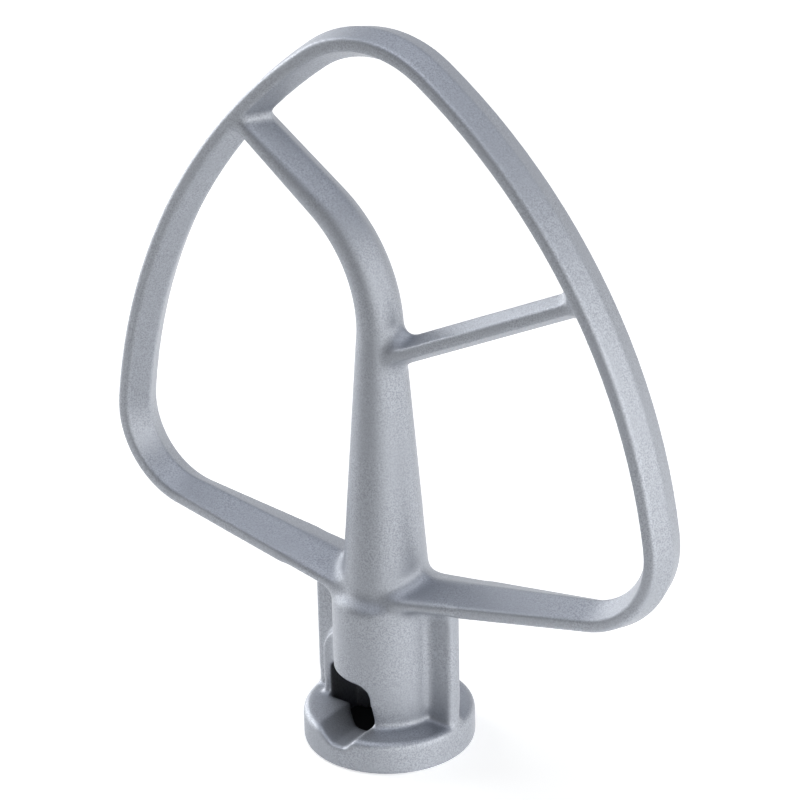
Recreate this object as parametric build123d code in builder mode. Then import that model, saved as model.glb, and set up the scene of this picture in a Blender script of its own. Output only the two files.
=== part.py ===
from build123d import *
from math import cos, radians, sin, sqrt, tan
import os

# Flat beater for a stand mixer: one casting, standing on the collar that takes the mixer's shaft.
# The shaft axis is Z, the frame lies in the XZ plane, and the origin is the centre of the
# collar's bottom face. All sizes are in millimetres.

# Frame outline, along the centre lines of its ribs
arm_axis_height = 33.5  # where the two arms' centre lines cross the shaft axis
arm_rise = 9.4  # degrees above level
limb_reach = 64.5  # from the shaft axis to the widest point of the limbs
apex_height = 148.7
corner_radius = 17.6
limb_radius = 121.5
apex_radius = 23.6

# Rib section: a flat land front and back, and sides that swell to a ridge at the parting plane
rib_land = 2.4
rib_depth = 9.8
rib_outer_swell = 1.2
rib_inner_swell = 2.4
rib_edge = 0.6
arm_root_depth = 17.0  # depth of the arms at the shaft axis

# Stem: a tapered round bar that bends over to the left limb
stem_foot_height = 30.0
stem_foot_radius = 9.3
stem_blend = 1.5
bend_height = 90.0  # where the stem starts to bend
bend_stem_radius = 4.7
bend_radius = 30.6
bend_turn = 52.8  # degrees
spoke_land = 2.2
spoke_depth = 9.4
spoke_swell = 2.5
spoke_edge = 1.0
spoke_blend = 2.0

# Crossbar: from the stem to the right limb
bar_axis_height = 84.2  # where its centre line crosses the shaft axis
bar_rise = 25.4  # degrees above level
bar_land = 2.0
bar_depth = 7.6
bar_swell = 1.6
bar_edge = 0.4
bar_blend = 1.0

# Hub: a collar, a barrel with a rounded shoulder, and two webs up to the arms
collar_diameter = 35.5
collar_height = 7.1
collar_edge = 1.3
collar_base_edge = 0.6
barrel_diameter = 22.4
barrel_height = 34.0
barrel_shoulder = 2.0
web_inset = 0.7  # inside the collar's rim
web_thickness = 3.5
web_edge = 0.9
foot_blend = 0.8

# Socket for the mixer's shaft, and the way its cross pin takes: up the keyway, then a quarter
# turn through the slot to the seat in the collar's front
bore_diameter = 13.0
bore_depth = 36.0
mouth_diameter = 20.6  # of the bore's flared mouth, at the collar's bottom
mouth_depth = 9.9
keyway_width = 9.0
keyway_inset = 6.05  # inside the collar's rim
keyway_height = 14.0
keyway_wall = 2.0
keyway_back_wall = 1.8
boss_height = 16.4  # where the keyway's outer wall starts to curve back to the barrel
boss_shoulder_run = 3.0
boss_shoulder_rise = 5.7
boss_edge = 0.5
slot_height = 8.95  # above the collar
slot_shoulder = 2.8  # over which the slot's top runs down to the keyway's
slot_side = 3.6  # from the shaft axis to the foot of the slot's closed side
slot_lean = 6.5  # degrees, of that side
slot_corner = 3.0
seat_depth = 2.3  # below the collar's top
seat_floor = 3.2
seat_centre = -0.4  # of its floor, from the shaft axis
seat_slope_left = 4.4
seat_slope_right = 2.2
seat_edge = 0.6


def circles_meet(a, radius_a, b, radius_b):
    """The crossing of two circles in the XZ plane that lies to the left of the line from a to b"""
    line = b - a
    gap = line.length
    along = (radius_a**2 - radius_b**2 + gap**2) / (2 * gap)
    aside = sqrt(radius_a**2 - along**2)
    return a + line * (along / gap) + line.cross(Vector(0, 1, 0)) * (aside / gap)


def line_meets_circle(start, direction, centre, radius):
    """The crossing of a line and a circle that lies furthest along the line"""
    to_centre = centre - start
    along = to_centre.dot(direction)
    return start + direction * (along + sqrt(radius**2 - to_centre.length**2 + along**2))


def ridged(plane, land, depth, swell_out, swell_in, edge):
    """A rib's section: its x points across the rib and its y through the frame"""
    with BuildSketch(plane) as section:
        with BuildLine():
            Polyline(
                (land / 2, -depth / 2),
                (land / 2 + swell_out, 0),
                (land / 2, depth / 2),
                (-land / 2, depth / 2),
                (-land / 2 - swell_in, 0),
                (-land / 2, -depth / 2),
                close=True,
            )
        make_face()
        fillet(section.vertices(), edge)
    return section.sketch


def rounded(plane, radius):
    """The same six-sided section with edges so soft that it is all but round"""
    side = radius / cos(radians(30))
    return ridged(plane, side, 2 * radius, side / 2, side / 2, 0.94 * radius)


# Points of the frame, in the XZ plane
rise = radians(arm_rise)
arm_direction = Vector(cos(rise), 0, sin(rise))
corner_x = limb_reach - corner_radius
corner_centre = Vector(corner_x, 0, arm_axis_height + corner_x * tan(rise) + corner_radius / cos(rise))
apex = Vector(0, 0, apex_height)
apex_centre = Vector(0, 0, apex_height - apex_radius)
limb_centre = circles_meet(corner_centre, limb_radius - corner_radius, apex_centre, limb_radius - apex_radius)
arm_start = Vector(0, 0, arm_axis_height)
arm_end = corner_centre + Vector(sin(rise), 0, -cos(rise)) * corner_radius
corner_end = limb_centre + (corner_centre - limb_centre).normalized() * limb_radius
limb_end = limb_centre + (apex_centre - limb_centre).normalized() * limb_radius

turn = radians(bend_turn)
bend_start = Vector(0, 0, bend_height)
bend_end = Vector(bend_radius * (cos(turn) - 1), 0, bend_height + bend_radius * sin(turn))
spoke_direction = Vector(-sin(turn), 0, cos(turn))
left_limb_centre = Vector(-limb_centre.X, 0, limb_centre.Z)
spoke_end = line_meets_circle(bend_end, spoke_direction, left_limb_centre, limb_radius)
bar_direction = Vector(cos(radians(bar_rise)), 0, sin(radians(bar_rise)))
bar_start = Vector(0, 0, bar_axis_height)
bar_end = line_meets_circle(bar_start, bar_direction, limb_centre, limb_radius)


def across(point, direction):
    """The plane square to a centre line, with its x pointing to the right of the line's direction"""
    return Plane(point, Vector(0, 1, 0).cross(direction), direction)


def rib_section(point, direction, depth):
    """A frame rib's section, with the outside of the frame to the right of the direction"""
    return ridged(across(point, direction), rib_land, depth, rib_outer_swell, rib_inner_swell, rib_edge)


with BuildLine() as limb_line:
    corner_arc = TangentArc(arm_end, corner_end, tangent=arm_direction)
    limb_arc = TangentArc(corner_end, limb_end, tangent=corner_arc % 1)
    TangentArc(limb_end, apex, tangent=limb_arc % 1)

with BuildLine() as spoke_line:
    bend_arc = TangentArc(bend_start, bend_end, tangent=(0, 0, 1))
    Line(bend_end, spoke_end)

barrel_radius = barrel_diameter / 2
collar_radius = collar_diameter / 2
web_span = collar_diameter - 2 * web_inset
keyway_reach = collar_radius - keyway_inset
boss_reach = keyway_reach + keyway_wall
boss_front = keyway_width / 2
boss_back = keyway_width / 2 + keyway_back_wall
boss_top = boss_height + boss_shoulder_rise
shoulder_end = (-boss_reach + boss_shoulder_run, boss_top)
slot_top = collar_height + slot_height

with BuildPart() as boss:
    # The keyway's outer wall, curving back to the barrel at its top
    with BuildSketch() as boss_plan:
        with Locations((-boss_reach / 2, (boss_back - boss_front) / 2)):
            Rectangle(boss_reach, boss_front + boss_back)
        fillet(boss_plan.vertices().group_by(Axis.X)[0], boss_edge)
    extrude(amount=boss_top)
    with BuildSketch(Plane.XZ):
        with BuildLine():
            Polyline((-boss_reach, boss_height), (-boss_reach, 0), (0, 0), (0, boss_top), shoulder_end)
            TangentArc((-boss_reach, boss_height), shoulder_end, tangent=(0, 1))
        make_face()
    extrude(amount=boss_back, both=True, mode=Mode.INTERSECT)

with BuildPart() as flat_beater:
    # The two arms, with the stem's foot over the place where they meet
    arm_root_section = rib_section(arm_start, Vector(1, 0, 0), arm_root_depth)
    arm_end_section = rib_section(arm_end, arm_direction, rib_depth)
    arm = loft([arm_root_section, arm_end_section], ruled=True)
    mirror(arm, about=Plane.YZ)
    with BuildSketch(Plane.XZ) as barrel_profile:
        with Locations((0, barrel_height / 2)):
            Rectangle(barrel_diameter, barrel_height)
        fillet(barrel_profile.vertices().group_by(Axis.Y)[-1], barrel_shoulder)
        split(bisect_by=Plane.YZ)
    revolve(axis=Axis.Z)
    stem_foot_section = rounded(Plane.XY.offset(stem_foot_height), stem_foot_radius)
    bend_start_section = rounded(Plane.XY.offset(bend_height), bend_stem_radius)
    loft([stem_foot_section, bend_start_section], ruled=True)
    fillet(flat_beater.edges(Select.NEW).filter_by(lambda edge: edge.center().Z > barrel_height), stem_blend)

    # The limbs, from the arms round the corners to the apex
    limb = sweep(arm_end_section, path=limb_line.line)
    mirror(limb, about=Plane.YZ)

    # The stem's bend and its straight run into the left limb
    spoke_plane = across(spoke_end, spoke_direction)
    spoke_end_section = ridged(spoke_plane, spoke_land, spoke_depth, spoke_swell, spoke_swell, spoke_edge)
    sweep(sections=[bend_start_section, spoke_end_section], path=spoke_line.line, multisection=True)
    fillet(flat_beater.edges(Select.NEW).filter_by(lambda edge: edge.center().Z > bend_end.Z), spoke_blend)

    # The crossbar
    bar_plane = across(bar_start, bar_direction)
    bar_section = ridged(bar_plane, bar_land, bar_depth, bar_swell, bar_swell, bar_edge)
    extrude(bar_section, amount=(bar_end - bar_start).length)
    fillet(flat_beater.edges(Select.NEW), bar_blend)

    # The webs, the keyway's outer wall and the collar
    with BuildSketch() as web:
        Rectangle(web_span, web_thickness)
        fillet(web.vertices(), web_edge)
    extrude(amount=arm_axis_height + web_span / 2 * tan(rise))
    add(boss.part)
    with BuildSketch(Plane.XZ) as collar_profile:
        with Locations((0, collar_height / 2)):
            Rectangle(collar_diameter, collar_height)
        fillet(collar_profile.vertices().group_by(Axis.Y)[-1], collar_edge)
        fillet(collar_profile.vertices().group_by(Axis.Y)[0], collar_base_edge)
        split(bisect_by=Plane.YZ)
    revolve(axis=Axis.Z)
    fillet(flat_beater.edges(Select.NEW), foot_blend)

    # The socket: the shaft's bore, the keyway beside it, and the slot and seat for the cross pin
    with BuildSketch():
        Circle(bore_diameter / 2)
    extrude(amount=bore_depth, mode=Mode.SUBTRACT)
    on_base = (Align.CENTER, Align.CENTER, Align.MIN)
    Cone(mouth_diameter / 2, bore_diameter / 2, mouth_depth, align=on_base, mode=Mode.SUBTRACT)
    with BuildSketch():
        with Locations((-keyway_reach / 2, 0)):
            Rectangle(keyway_reach, keyway_width)
    extrude(amount=keyway_height, mode=Mode.SUBTRACT)
    with BuildSketch(Plane.XZ) as slot:
        with BuildLine():
            Polyline(
                (-keyway_reach, collar_height),
                (-keyway_reach, keyway_height),
                (slot_shoulder - keyway_reach, slot_top),
                (slot_side - slot_height * tan(radians(slot_lean)), slot_top),
                (slot_side, collar_height),
                close=True,
            )
        make_face()
        fillet(slot.vertices().group_by(Axis.Y)[-1].sort_by(Axis.X)[-1], slot_corner)
    extrude(amount=collar_radius, mode=Mode.SUBTRACT)
    with BuildSketch(Plane.XZ) as seat:
        with BuildLine():
            Polyline(
                (seat_centre - seat_floor / 2 - seat_slope_left, collar_height),
                (seat_centre - seat_floor / 2, collar_height - seat_depth),
                (seat_centre + seat_floor / 2, collar_height - seat_depth),
                (seat_centre + seat_floor / 2 + seat_slope_right, collar_height),
                close=True,
            )
        make_face()
        fillet(seat.vertices().group_by(Axis.Y)[0], seat_edge)
    extrude(amount=collar_radius, mode=Mode.SUBTRACT)

flat_beater.part.label = "flat_beater"
os.makedirs("parts", exist_ok=True)
export_step(flat_beater.part, "parts/flat_beater.step")
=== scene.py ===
import bmesh
import bpy
import numpy as np
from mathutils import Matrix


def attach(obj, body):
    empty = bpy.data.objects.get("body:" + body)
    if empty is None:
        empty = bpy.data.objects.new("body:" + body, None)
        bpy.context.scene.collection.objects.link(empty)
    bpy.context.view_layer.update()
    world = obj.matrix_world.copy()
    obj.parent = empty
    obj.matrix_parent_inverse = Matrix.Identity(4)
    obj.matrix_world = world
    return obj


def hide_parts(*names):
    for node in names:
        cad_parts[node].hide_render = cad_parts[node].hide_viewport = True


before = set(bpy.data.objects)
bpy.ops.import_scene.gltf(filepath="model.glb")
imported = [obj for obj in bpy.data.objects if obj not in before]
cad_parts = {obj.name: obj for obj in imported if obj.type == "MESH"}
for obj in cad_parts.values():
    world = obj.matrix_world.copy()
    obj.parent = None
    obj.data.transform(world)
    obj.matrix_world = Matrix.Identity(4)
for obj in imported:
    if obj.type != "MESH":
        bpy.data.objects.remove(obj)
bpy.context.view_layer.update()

import openvdb
from bpy.props import FloatProperty, FloatVectorProperty, IntProperty, PointerProperty
from mathutils import Matrix, Vector

bl_info = {
    "name": "Stand Mixer Flat Beater",
    "version": (1, 0, 0),
    "blender": (4, 5, 0),
    "location": "View3D > Sidebar > Flat Beater",
    "description": "Dresses the flat beater as a blasted aluminium casting and sets up its studio",
    "category": "Object",
}

MM = 0.001
NODE = "flat_beater"


def box(corner, far_corner):
    """A box between two corners given in mm"""
    return Vector(corner) * MM, Vector(far_corner) * MM


# Where the casting has blends or edges of its own, and how far these fade out at a box's sides
WEBS = box((-18, -13, 11), (18, 13, 37))
HUB = box((-22, -13, 32), (22, 13, 52))
HUB_EDGES = box((-20, -13, 33), (20, 13, 50))
COLLAR_RIM = box((-19, -19, 4), (19, 19, 10))
BAR_ROOT = box((1, -8, 80), (14, 8, 100))
BAR_TIP = box((36, -8, 98), (54, 8, 114))
FADE = 3 * MM

# How far from the part its distances are worked out, the cubes of air round it, and the cubes of true
# distance that any surface needs on each side
REACH = 2 * MM
AIR_CUBES = 6
BAND_CUBES = 3

# The painted shade in the socket ends here, just outside its bore, and fades into the barrel's
SOCKET_RADIUS = 6.7 * MM
SOCKET_TOP = 36 * MM
SOCKET_FADE = 1.5 * MM

# The floor lies this far under the collar, so that the two faces don't share a plane
FLOOR_GAP = 0.05 * MM

# The way to the middle of the room's dark side. The floor there glows in the metal only close to the
# object, by this share of its glow elsewhere.
DARK_WAY = (-0.2, -0.98, 0)
NEAR_FLOOR = 40 * MM
FAR_FLOOR = 150 * MM
NEAR_SHARE = 0.4

# The middle of the part, which the lamps shine at, and each lamp's name, place and side in m, power in W
# and colour
LAMP_TARGET = (0, 0, 75 * MM)
LAMPS = (
    ("right_lamp", (0.98, 0, 0.28), 0.9, 4.4, (1.0, 0.99, 0.96)),
    ("left_lamp", (-0.96, 0, 0.34), 0.9, 7.4, (1.0, 1.0, 0.99)),
    ("top_lamp", (0, -0.09, 1.07), 0.9, 3.1, (0.99, 0.99, 1.0)),
    ("front_lamp", (0.52, -0.7, 0.1), 0.5, 1.7, (1.0, 1.0, 0.98)),
)


def linear(hex_colour):
    """An sRGB hex colour as linear red, green and blue"""
    channels = [int(hex_colour[i : i + 2], 16) / 255 for i in (1, 3, 5)]
    return [c / 12.92 if c <= 0.04045 else ((c + 0.055) / 1.055) ** 2.4 for c in channels]


def add_node(tree, kind, inputs=None, **settings):
    """A new node with its settings, and with each named input set or linked"""
    node = tree.nodes.new(kind)
    for name, value in settings.items():
        setattr(node, name, value)
    for name, value in (inputs or {}).items():
        if isinstance(value, bpy.types.NodeSocket):
            tree.links.new(value, node.inputs[name])
        else:
            node.inputs[name].default_value = value
    return node


class BeaterCastingSettings(bpy.types.PropertyGroup):
    """How the casting's skin is made from the solid"""

    cube: FloatProperty(
        name="Cube",
        description="Side of the cubes that the skin is worked out on",
        default=0.35 * MM,
        subtype="DISTANCE",
        unit="LENGTH",
    )
    triangles: IntProperty(
        name="Triangles",
        description="How many triangles the skin keeps",
        default=190000,
    )
    hub_blend: FloatProperty(
        name="Hub Blend",
        description="Radius where the stem grows out of the arms",
        default=2.4 * MM,
        subtype="DISTANCE",
        unit="LENGTH",
    )
    hub_softness: FloatProperty(
        name="Hub Softness",
        description="How far the hub's edges are blurred",
        default=0.7 * MM,
        subtype="DISTANCE",
        unit="LENGTH",
    )
    edge_softness: FloatProperty(
        name="Edge Softness",
        description="How far all other edges are blurred",
        default=0.18 * MM,
        subtype="DISTANCE",
        unit="LENGTH",
    )
    rim_softness: FloatProperty(
        name="Rim Softness",
        description="How far the collar's edges are blurred",
        default=0.45 * MM,
        subtype="DISTANCE",
        unit="LENGTH",
    )
    web_blend: FloatProperty(
        name="Web Blend",
        description="Radius between the barrel, its webs and the arms above them",
        default=1.3 * MM,
        subtype="DISTANCE",
        unit="LENGTH",
    )
    bar_root_blend: FloatProperty(
        name="Crossbar Root Blend",
        description="Radius where the crossbar leaves the stem",
        default=3.0 * MM,
        subtype="DISTANCE",
        unit="LENGTH",
    )
    bar_tip_blend: FloatProperty(
        name="Crossbar Tip Blend",
        description="Radius where the crossbar meets the limb",
        default=2.0 * MM,
        subtype="DISTANCE",
        unit="LENGTH",
    )


class BeaterFinishSettings(bpy.types.PropertyGroup):
    """The colours and the grain of the blasted aluminium, and the painted shade in its socket"""

    colour: FloatVectorProperty(
        name="Colour",
        description="Colour of the blasted metal",
        default=linear("#B1B5BC"),
        subtype="COLOR",
        min=0,
        max=1,
    )
    fleck_colour: FloatVectorProperty(
        name="Fleck Colour",
        description="Colour of the darker flecks in the blasted metal",
        default=linear("#9A9DA4"),
        subtype="COLOR",
        min=0,
        max=1,
    )
    socket_shade_colour: FloatVectorProperty(
        name="Socket Shade Colour",
        description="Colour of the metal in the shaft's socket, painted darker for the shade inside it",
        default=linear("#3B3E46"),
        subtype="COLOR",
        min=0,
        max=1,
    )
    grit: FloatProperty(
        name="Grit",
        description="Width of one blasted dimple",
        default=0.32 * MM,
        subtype="DISTANCE",
        unit="LENGTH",
    )
    cloud: FloatProperty(
        name="Cloud",
        description="Width of the broad cloudiness",
        default=9.0 * MM,
        subtype="DISTANCE",
        unit="LENGTH",
    )


class BeaterStageSettings(bpy.types.PropertyGroup):
    """The floor, the painted shade under the collar, and the light"""

    floor_colour: FloatVectorProperty(
        name="Floor Colour",
        description="Colour of the pale floor",
        default=linear("#F4F5F6"),
        subtype="COLOR",
        min=0,
        max=1,
    )
    covered_shade_colour: FloatVectorProperty(
        name="Covered Shade Colour",
        description="Colour of the painted shade round under the collar, which only shows through the socket",
        default=linear("#15171B"),
        subtype="COLOR",
        min=0,
        max=1,
    )
    dark_colour: FloatVectorProperty(
        name="Dark Colour",
        description="Colour of the dark room in front",
        default=(0.2, 0.2, 0.2),
        subtype="COLOR",
        min=0,
        max=1,
    )
    ceiling_colour: FloatVectorProperty(
        name="Ceiling Colour",
        description="Colour of the dim ceiling",
        default=(0.44, 0.47, 0.54),
        subtype="COLOR",
        min=0,
        max=1,
    )
    floor_side: FloatProperty(
        name="Floor Side",
        description="Side of the square floor",
        default=1.8,
        subtype="DISTANCE",
        unit="LENGTH",
    )
    covered_radius: FloatProperty(
        name="Covered Radius",
        description="Radius of the round under the collar",
        default=16 * MM,
        subtype="DISTANCE",
        unit="LENGTH",
    )


def polygons(mesh):
    """A mesh's points and triangles as arrays"""
    points = np.empty(len(mesh.vertices) * 3, np.float32)
    mesh.vertices.foreach_get("co", points)
    mesh.calc_loop_triangles()
    triangles = np.empty(len(mesh.loop_triangles) * 3, np.int32)
    mesh.loop_triangles.foreach_get("vertices", triangles)
    return points.reshape(-1, 3), triangles.reshape(-1, 3).astype(np.uint32)


class Field:
    """Distances to a surface on a grid of small cubes, negative inside"""

    def __init__(self, values, low, cube):
        self.values = values
        self.low = low
        self.cube = cube

    def surface(self, distance=0.0):
        """The surface at this distance from the field's own"""
        grid = openvdb.FloatGrid(float(self.values.max()))
        grid.transform = openvdb.createLinearTransform(voxelSize=self.cube)
        grid.copyFromArray(self.values, ijk=self.low)
        return grid.convertToPolygons(isovalue=distance)

    def window(self, region, margin):
        """The cubes of a box with a margin round it, as the first cube and a slice for each axis"""
        corner, far_corner = region
        first = [int(corner[i] / self.cube) - margin - self.low[i] for i in range(3)]
        last = [int(far_corner[i] / self.cube) + margin - self.low[i] for i in range(3)]
        first = [max(first[i], 0) for i in range(3)]
        last = [min(last[i], self.values.shape[i]) for i in range(3)]
        low = tuple(first[i] + self.low[i] for i in range(3))
        return low, tuple(slice(first[i], last[i]) for i in range(3))

    def blend(self, region, radius):
        """Fills the inner corners in a box as a ball of this radius leaves them, rolling round the outside"""
        reach = int(2 * radius / self.cube) + BAND_CUBES + 1
        low, cubes = self.window(region, reach + int(FADE / self.cube))
        # A layer of air round the window's cubes closes the surface that is cut at its sides
        inner = (slice(1, -1),) * 3
        part = Field(np.full(self.values[cubes].shape, 2 * self.cube, np.float32), low, self.cube)
        part.values[inner] = self.values[cubes][inner]
        near, far = BAND_CUBES * self.cube, radius + BAND_CUBES * self.cube
        grown = measured(part.surface(), low, part.values.shape, self.cube, far, near)
        rolled = measured(grown.surface(radius), low, part.values.shape, self.cube, near, far)
        core = (slice(reach, -reach),) * 3
        plain = self.values[cubes][core]
        filled = np.minimum(plain, rolled.values[core] + radius)
        self.values[cubes][core] = plain + self.share(plain.shape) * (filled - plain)

    def soften(self, region, spread):
        """Blurs a box over this distance, which rounds its edges"""
        low, cubes = self.window(region, int(FADE / self.cube))
        plain = self.values[cubes]
        blurred = plain.copy()
        # One round, with weights of 1, 2 and 1, blurs by the root of half a cube squared, and each round adds
        # to that square
        rounds = max(1, round(2 * (spread / self.cube) ** 2))
        for _ in range(rounds):
            for axis in range(3):
                last = blurred.shape[axis] - 1
                before = blurred.take(range(last - 1), axis)
                middle = tuple(slice(1, last) if i == axis else slice(None) for i in range(3))
                after = blurred.take(range(2, last + 1), axis)
                blurred[middle] = (before + 2 * blurred[middle] + after) / 4
        self.values[cubes] = plain + self.share(plain.shape) * (blurred - plain)

    def share(self, shape):
        """1 within a box of cubes, falling smoothly to 0 at its sides"""
        share = np.float32(1)
        for axis, count in enumerate(shape):
            place = np.arange(count, dtype=np.float32)
            edge = np.clip(np.minimum(place, count - 1 - place) * self.cube / FADE, 0, 1)
            share = share * (edge * edge * (3 - 2 * edge)).reshape([-1 if i == axis else 1 for i in range(3)])
        return share


def measured(surface, low, shape, cube, outside, inside):
    """The field round a surface, true up to a distance outside and inside it"""
    points, triangles, quads = surface
    grid = openvdb.FloatGrid.createLevelSetFromPolygons(
        points,
        triangles=triangles,
        quads=quads,
        transform=openvdb.createLinearTransform(voxelSize=cube),
        exBandWidth=outside / cube,
        inBandWidth=inside / cube,
    )
    values = np.empty(shape, np.float32)
    grid.copyToArray(values, ijk=low)
    return Field(values, low, cube)


def casting_mesh(name, solid, settings):
    """The solid's skin with full casting blends in its inner corners and soft outer edges"""
    points, triangles = polygons(solid)
    cube = settings.cube
    low = tuple(int(np.floor(c / cube)) - AIR_CUBES for c in points.min(0))
    high = tuple(int(np.ceil(c / cube)) + AIR_CUBES for c in points.max(0))
    shape = tuple(b - a for a, b in zip(low, high))
    no_quads = np.empty((0, 4), np.uint32)
    field = measured((points, triangles, no_quads), low, shape, cube, REACH, REACH)
    field.blend(WEBS, settings.web_blend)
    field.blend(HUB, settings.hub_blend)
    field.blend(BAR_ROOT, settings.bar_root_blend)
    field.blend(BAR_TIP, settings.bar_tip_blend)
    field.soften(HUB_EDGES, settings.hub_softness)
    field.soften(COLLAR_RIM, settings.rim_softness)
    field.soften((points.min(0), points.max(0)), settings.edge_softness)
    points, triangles, quads = field.surface()
    mesh = bpy.data.meshes.new(name)
    mesh.from_pydata(points.tolist(), [], quads.tolist() + triangles.tolist())
    mesh.shade_smooth()
    return mesh


def thin_out(piece, triangles):
    """Leaves about this many triangles, small where the surface bends and large where it is flat"""
    piece.data.calc_loop_triangles()
    decimate = piece.modifiers.new("thin_out", "DECIMATE")
    decimate.ratio = triangles / len(piece.data.loop_triangles)
    graph = bpy.context.evaluated_depsgraph_get()
    mesh = bpy.data.meshes.new_from_object(piece.evaluated_get(graph))
    piece.modifiers.clear()
    old = piece.data
    name = old.name
    piece.data = mesh
    bpy.data.meshes.remove(old)
    mesh.name = name


def in_socket(tree, place):
    """1 on the walls of the shaft's socket, where shade is painted, and 0 on the rest of the casting"""
    level = add_node(tree, "ShaderNodeVectorMath", {0: place, 1: (1, 1, 0)}, operation="MULTIPLY")
    radius = add_node(tree, "ShaderNodeVectorMath", {0: level.outputs["Vector"]}, operation="LENGTH")
    wall = add_node(
        tree,
        "ShaderNodeMapRange",
        {
            "Value": radius.outputs["Value"],
            "From Min": SOCKET_RADIUS,
            "From Max": SOCKET_RADIUS + SOCKET_FADE,
            "To Min": 1.0,
            "To Max": 0.0,
        },
    )
    height = add_node(tree, "ShaderNodeSeparateXYZ", {"Vector": place}).outputs["Z"]
    below = add_node(
        tree,
        "ShaderNodeMapRange",
        {"Value": height, "From Min": SOCKET_TOP, "From Max": SOCKET_TOP + MM, "To Min": 1.0, "To Max": 0.0},
    )
    return add_node(
        tree, "ShaderNodeMath", {0: wall.outputs["Result"], 1: below.outputs["Result"]}, operation="MULTIPLY"
    ).outputs["Value"]


def blasted_aluminium(finish):
    """Cast aluminium, bead blasted: a satin metal that scatters light so widely that it looks half matt.
    Its dimples show as a fine dark and light fleck, and the casting under them as a faint cloudiness.
    The socket's walls are painted darker: painted shade for the shade inside the bore."""
    material = bpy.data.materials.new("blasted_aluminium")
    material.use_nodes = True
    tree = material.node_tree
    shader = tree.nodes["Principled BSDF"]
    place = add_node(tree, "ShaderNodeTexCoord").outputs["Object"]
    # Real beads leave dimples of 0.1 to 0.2 mm, drawn coarser here so that they show
    grit = add_node(
        tree,
        "ShaderNodeTexNoise",
        {"Vector": place, "Scale": 1 / finish.grit, "Detail": 2.0, "Roughness": 0.6},
    )
    cloud = add_node(
        tree,
        "ShaderNodeTexNoise",
        {"Vector": place, "Scale": 1 / finish.cloud, "Detail": 3.0, "Roughness": 0.5},
    )
    fleck = add_node(
        tree,
        "ShaderNodeMapRange",
        {"Value": grit.outputs["Fac"], "From Min": 0.35, "From Max": 0.65, "To Min": -1.0, "To Max": 1.0},
    )
    patch = add_node(
        tree,
        "ShaderNodeMapRange",
        {"Value": cloud.outputs["Fac"], "From Min": 0.38, "From Max": 0.66, "To Min": 0.2, "To Max": 0.7},
    )
    amount = add_node(
        tree,
        "ShaderNodeMath",
        {0: fleck.outputs["Result"], 1: patch.outputs["Result"], 2: 0.45},
        operation="MULTIPLY_ADD",
        use_clamp=True,
    )
    colour = add_node(
        tree,
        "ShaderNodeMix",
        {"Factor": amount.outputs["Value"], "A": (*finish.colour, 1), "B": (*finish.fleck_colour, 1)},
        data_type="RGBA",
    )
    # Painted shade: the socket's walls take a dark colour in place of the shade that falls inside the bore
    with_socket_shade = add_node(
        tree,
        "ShaderNodeMix",
        {"Factor": in_socket(tree, place), "A": colour.outputs["Result"], "B": (*finish.socket_shade_colour, 1)},
        data_type="RGBA",
    )
    roughness = add_node(
        tree,
        "ShaderNodeMapRange",
        {"Value": grit.outputs["Fac"], "From Min": 0.3, "From Max": 0.7, "To Min": 0.48, "To Max": 0.6},
    )
    dimples = add_node(
        tree, "ShaderNodeBump", {"Height": grit.outputs["Fac"], "Strength": 0.25, "Distance": 0.04 * MM}
    )
    tree.links.new(with_socket_shade.outputs["Result"], shader.inputs["Base Color"])
    tree.links.new(roughness.outputs["Result"], shader.inputs["Roughness"])
    tree.links.new(dimples.outputs["Normal"], shader.inputs["Normal"])
    shader.inputs["Metallic"].default_value = 1.0
    return material


class BEATER_OT_casting(bpy.types.Operator):
    """Makes the flat beater's cast skin over its solid and gives it the blasted finish"""

    bl_idname = "beater.casting"
    bl_label = "Flat Beater Casting"

    def execute(self, context):
        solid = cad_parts[NODE]
        scene = context.scene
        mesh = casting_mesh("beater_casting", solid.data, scene.beater_casting)
        mesh.materials.append(blasted_aluminium(scene.beater_finish))
        casting = bpy.data.objects.new("beater_casting", mesh)
        scene.collection.objects.link(casting)
        thin_out(casting, scene.beater_casting.triangles)
        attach(casting, "root")
        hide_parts(NODE)
        return {"FINISHED"}


def add_lamp(scene, name, place, side, power, colour):
    """A square soft lamp that shines at the middle of the part"""
    light = bpy.data.lights.new(name, "AREA")
    light.size = side
    light.energy = power
    light.color = colour
    lamp = bpy.data.objects.new(name, light)
    lamp.location = place
    lamp.rotation_euler = (Vector(LAMP_TARGET) - Vector(place)).to_track_quat("-Z", "Y").to_euler()
    scene.collection.objects.link(lamp)


def seen_rays(tree):
    """1 for the camera's rays and for those that metal or glass sends on, and 0 for the others"""
    path = add_node(tree, "ShaderNodeLightPath").outputs
    mirrored = add_node(
        tree,
        "ShaderNodeMath",
        {0: path["Is Glossy Ray"], 1: path["Is Transmission Ray"]},
        operation="MAXIMUM",
    )
    return add_node(
        tree, "ShaderNodeMath", {0: path["Is Camera Ray"], 1: mirrored.outputs["Value"]}, operation="MAXIMUM"
    ).outputs["Value"]


def dark_side(tree, direction):
    """1 in front of the object, where the room is dark, and 0 beside and behind it, by the cosine of the
    angle from the dark side's middle"""
    level = add_node(tree, "ShaderNodeVectorMath", {0: direction, 1: (1, 1, 0)}, operation="MULTIPLY")
    unit = add_node(tree, "ShaderNodeVectorMath", {0: level.outputs["Vector"]}, operation="NORMALIZE")
    ahead = add_node(
        tree, "ShaderNodeVectorMath", {0: unit.outputs["Vector"], 1: DARK_WAY}, operation="DOT_PRODUCT"
    )
    return add_node(
        tree,
        "ShaderNodeMapRange",
        {"Value": ahead.outputs["Value"], "From Min": 0.2, "From Max": 0.9},
        interpolation_type="SMOOTHSTEP",
    ).outputs["Result"]


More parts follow.
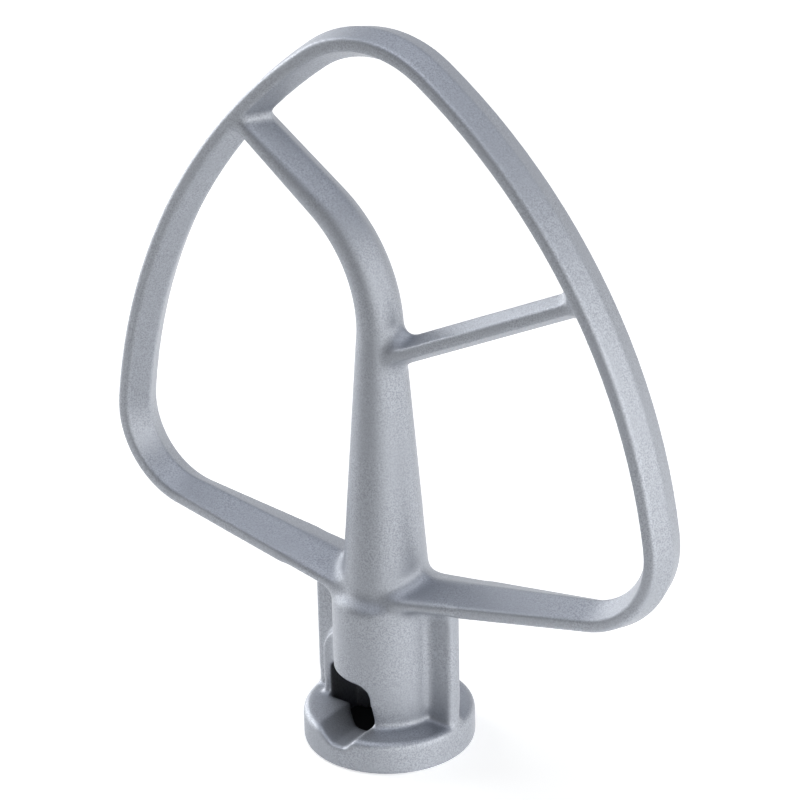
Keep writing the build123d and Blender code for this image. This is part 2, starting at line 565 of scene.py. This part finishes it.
def paper(name, colour, glow, metal_glow):
    """Matt paper that glows to the eye, so that it comes out white, and in the metal.
    On the dark side the metal sees it glow less, and only close to the object."""
    material = bpy.data.materials.new(name)
    material.use_nodes = True
    tree = material.node_tree
    shader = tree.nodes["Principled BSDF"]
    shader.inputs["Base Color"].default_value = (*colour, 1)
    shader.inputs["Roughness"].default_value = 0.9
    shader.inputs["Emission Color"].default_value = (1, 1, 1, 1)
    place = add_node(tree, "ShaderNodeTexCoord").outputs["Object"]
    distance = add_node(tree, "ShaderNodeVectorMath", {0: place}, operation="LENGTH").outputs["Value"]
    near = add_node(
        tree,
        "ShaderNodeMapRange",
        {
            "Value": distance,
            "From Min": NEAR_FLOOR,
            "From Max": FAR_FLOOR,
            "To Min": NEAR_SHARE * metal_glow,
            "To Max": 0.0,
        },
        interpolation_type="SMOOTHSTEP",
    )
    lit = add_node(
        tree,
        "ShaderNodeMapRange",
        {"Value": dark_side(tree, place), "To Min": metal_glow, "To Max": near.outputs["Result"]},
    )
    in_metal = add_node(
        tree, "ShaderNodeMath", {0: seen_rays(tree), 1: lit.outputs["Result"]}, operation="MULTIPLY"
    )
    strength = add_node(
        tree,
        "ShaderNodeMix",
        {
            "Factor": add_node(tree, "ShaderNodeLightPath").outputs["Is Camera Ray"],
            "A": in_metal.outputs["Value"],
            "B": glow,
        },
    )
    tree.links.new(strength.outputs["Result"], shader.inputs["Emission Strength"])
    return material


def add_floor(scene, stage):
    """A pale floor with the object's soft shadow, and a plain dark round under the collar, painted shade
    where no light falls
    """
    half = stage.floor_side / 2
    shape = bmesh.new()
    circle = bmesh.ops.create_circle(shape, radius=stage.covered_radius, segments=64, cap_ends=True)
    covered = circle["verts"][0].link_faces[0]
    corners = [shape.verts.new((x * half, y * half, 0)) for x, y in ((-1, -1), (1, -1), (1, 1), (-1, 1))]
    rim = [shape.edges.new((corners[i], corners[i - 1])) for i in range(4)]
    bmesh.ops.triangle_fill(shape, edges=rim + list(covered.edges), use_beauty=True)
    for face in shape.faces:
        face.material_index = 1 if face is covered else 0
        if face.normal.z < 0:
            face.normal_flip()
    mesh = bpy.data.meshes.new("floor")
    shape.to_mesh(mesh)
    shape.free()
    mesh.materials.append(paper("pale_paper", stage.floor_colour, glow=0.5, metal_glow=0.8))
    # Painted shade: the round under the collar is dark and doesn't glow, standing in for the collar's shade,
    # which shows through the socket
    mesh.materials.append(paper("painted_shade_paper", stage.covered_shade_colour, glow=0.0, metal_glow=0.0))
    floor = bpy.data.objects.new("floor", mesh)
    floor.location.z = -FLOOR_GAP
    scene.collection.objects.link(floor)


def add_world(scene, stage):
    """White walls that the camera and the metal see, under a dim ceiling, and a dark room in front"""
    world = bpy.data.worlds.new("studio")
    world.use_nodes = True
    tree = world.node_tree
    background = tree.nodes["Background"]
    direction = add_node(tree, "ShaderNodeTexCoord").outputs["Generated"]
    # The walls turn into the ceiling between 17 and 44 degrees above the horizon
    height = add_node(tree, "ShaderNodeSeparateXYZ", {"Vector": direction}).outputs["Z"]
    above = add_node(
        tree,
        "ShaderNodeMapRange",
        {"Value": height, "From Min": 0.3, "From Max": 0.7},
        interpolation_type="SMOOTHSTEP",
    )
    walls = add_node(
        tree,
        "ShaderNodeMix",
        {"Factor": dark_side(tree, direction), "A": (1, 1, 1, 1), "B": (*stage.dark_colour, 1)},
        data_type="RGBA",
    )
    room = add_node(
        tree,
        "ShaderNodeMix",
        {"Factor": above.outputs["Result"], "A": walls.outputs["Result"], "B": (*stage.ceiling_colour, 1)},
        data_type="RGBA",
    )
    mirrored = add_node(
        tree,
        "ShaderNodeMix",
        {"Factor": seen_rays(tree), "A": (*stage.dark_colour, 1), "B": room.outputs["Result"]},
        data_type="RGBA",
    )
    camera = add_node(tree, "ShaderNodeLightPath").outputs["Is Camera Ray"]
    colour = add_node(
        tree,
        "ShaderNodeMix",
        {"Factor": camera, "A": mirrored.outputs["Result"], "B": (1, 1, 1, 1)},
        data_type="RGBA",
    )
    tree.links.new(colour.outputs["Result"], background.inputs["Color"])
    scene.world = world


def add_camera(scene):
    """The photo's own viewpoint, found by fitting the frame's outline to it"""
    place = Vector((305.05, -409.64, 301.87)) * MM
    right = Vector((0.8111, 0.5846, -0.0194)).normalized()
    back = Vector((0.5408, -0.7368, 0.4058)).normalized()
    up = back.cross(right)
    camera = bpy.data.cameras.new("camera")
    camera.lens = 127.61
    camera.sensor_width = 36.0
    camera.clip_start = 0.01
    holder = bpy.data.objects.new("camera", camera)
    axes = Matrix((right, up, back)).transposed()
    holder.matrix_world = Matrix.Translation(place) @ axes.to_4x4()
    scene.collection.objects.link(holder)
    scene.camera = holder


class BEATER_OT_stage(bpy.types.Operator):
    """Sets up the pale floor, the soft lamps, the white room and the camera"""

    bl_idname = "beater.stage"
    bl_label = "Studio Stage"

    def execute(self, context):
        scene = context.scene
        scene.view_settings.view_transform = "Standard"
        add_floor(scene, scene.beater_stage)
        add_world(scene, scene.beater_stage)
        for lamp in LAMPS:
            add_lamp(scene, *lamp)
        add_camera(scene)
        return {"FINISHED"}


class BEATER_PT_panel(bpy.types.Panel):
    """Lists the beater's sizes, colours and steps"""

    bl_idname = "BEATER_PT_panel"
    bl_label = "Flat Beater"
    bl_space_type = "VIEW_3D"
    bl_region_type = "UI"
    bl_category = "Flat Beater"

    def draw(self, context):
        for owner in (context.scene.beater_casting, context.scene.beater_finish, context.scene.beater_stage):
            group = self.layout.box()
            for name in owner.__annotations__:
                group.prop(owner, name)
        for operator in (BEATER_OT_casting, BEATER_OT_stage):
            self.layout.operator(operator.bl_idname)


CLASSES = (
    BeaterCastingSettings,
    BeaterFinishSettings,
    BeaterStageSettings,
    BEATER_OT_casting,
    BEATER_OT_stage,
    BEATER_PT_panel,
)


def register():
    for cls in CLASSES:
        bpy.utils.register_class(cls)
    bpy.types.Scene.beater_casting = PointerProperty(type=BeaterCastingSettings)
    bpy.types.Scene.beater_finish = PointerProperty(type=BeaterFinishSettings)
    bpy.types.Scene.beater_stage = PointerProperty(type=BeaterStageSettings)


def unregister():
    del bpy.types.Scene.beater_stage
    del bpy.types.Scene.beater_finish
    del bpy.types.Scene.beater_casting
    for cls in reversed(CLASSES):
        bpy.utils.unregister_class(cls)


def main():
    register()
    bpy.ops.beater.casting()
    bpy.ops.beater.stage()


if __name__ == "__main__":
    main()
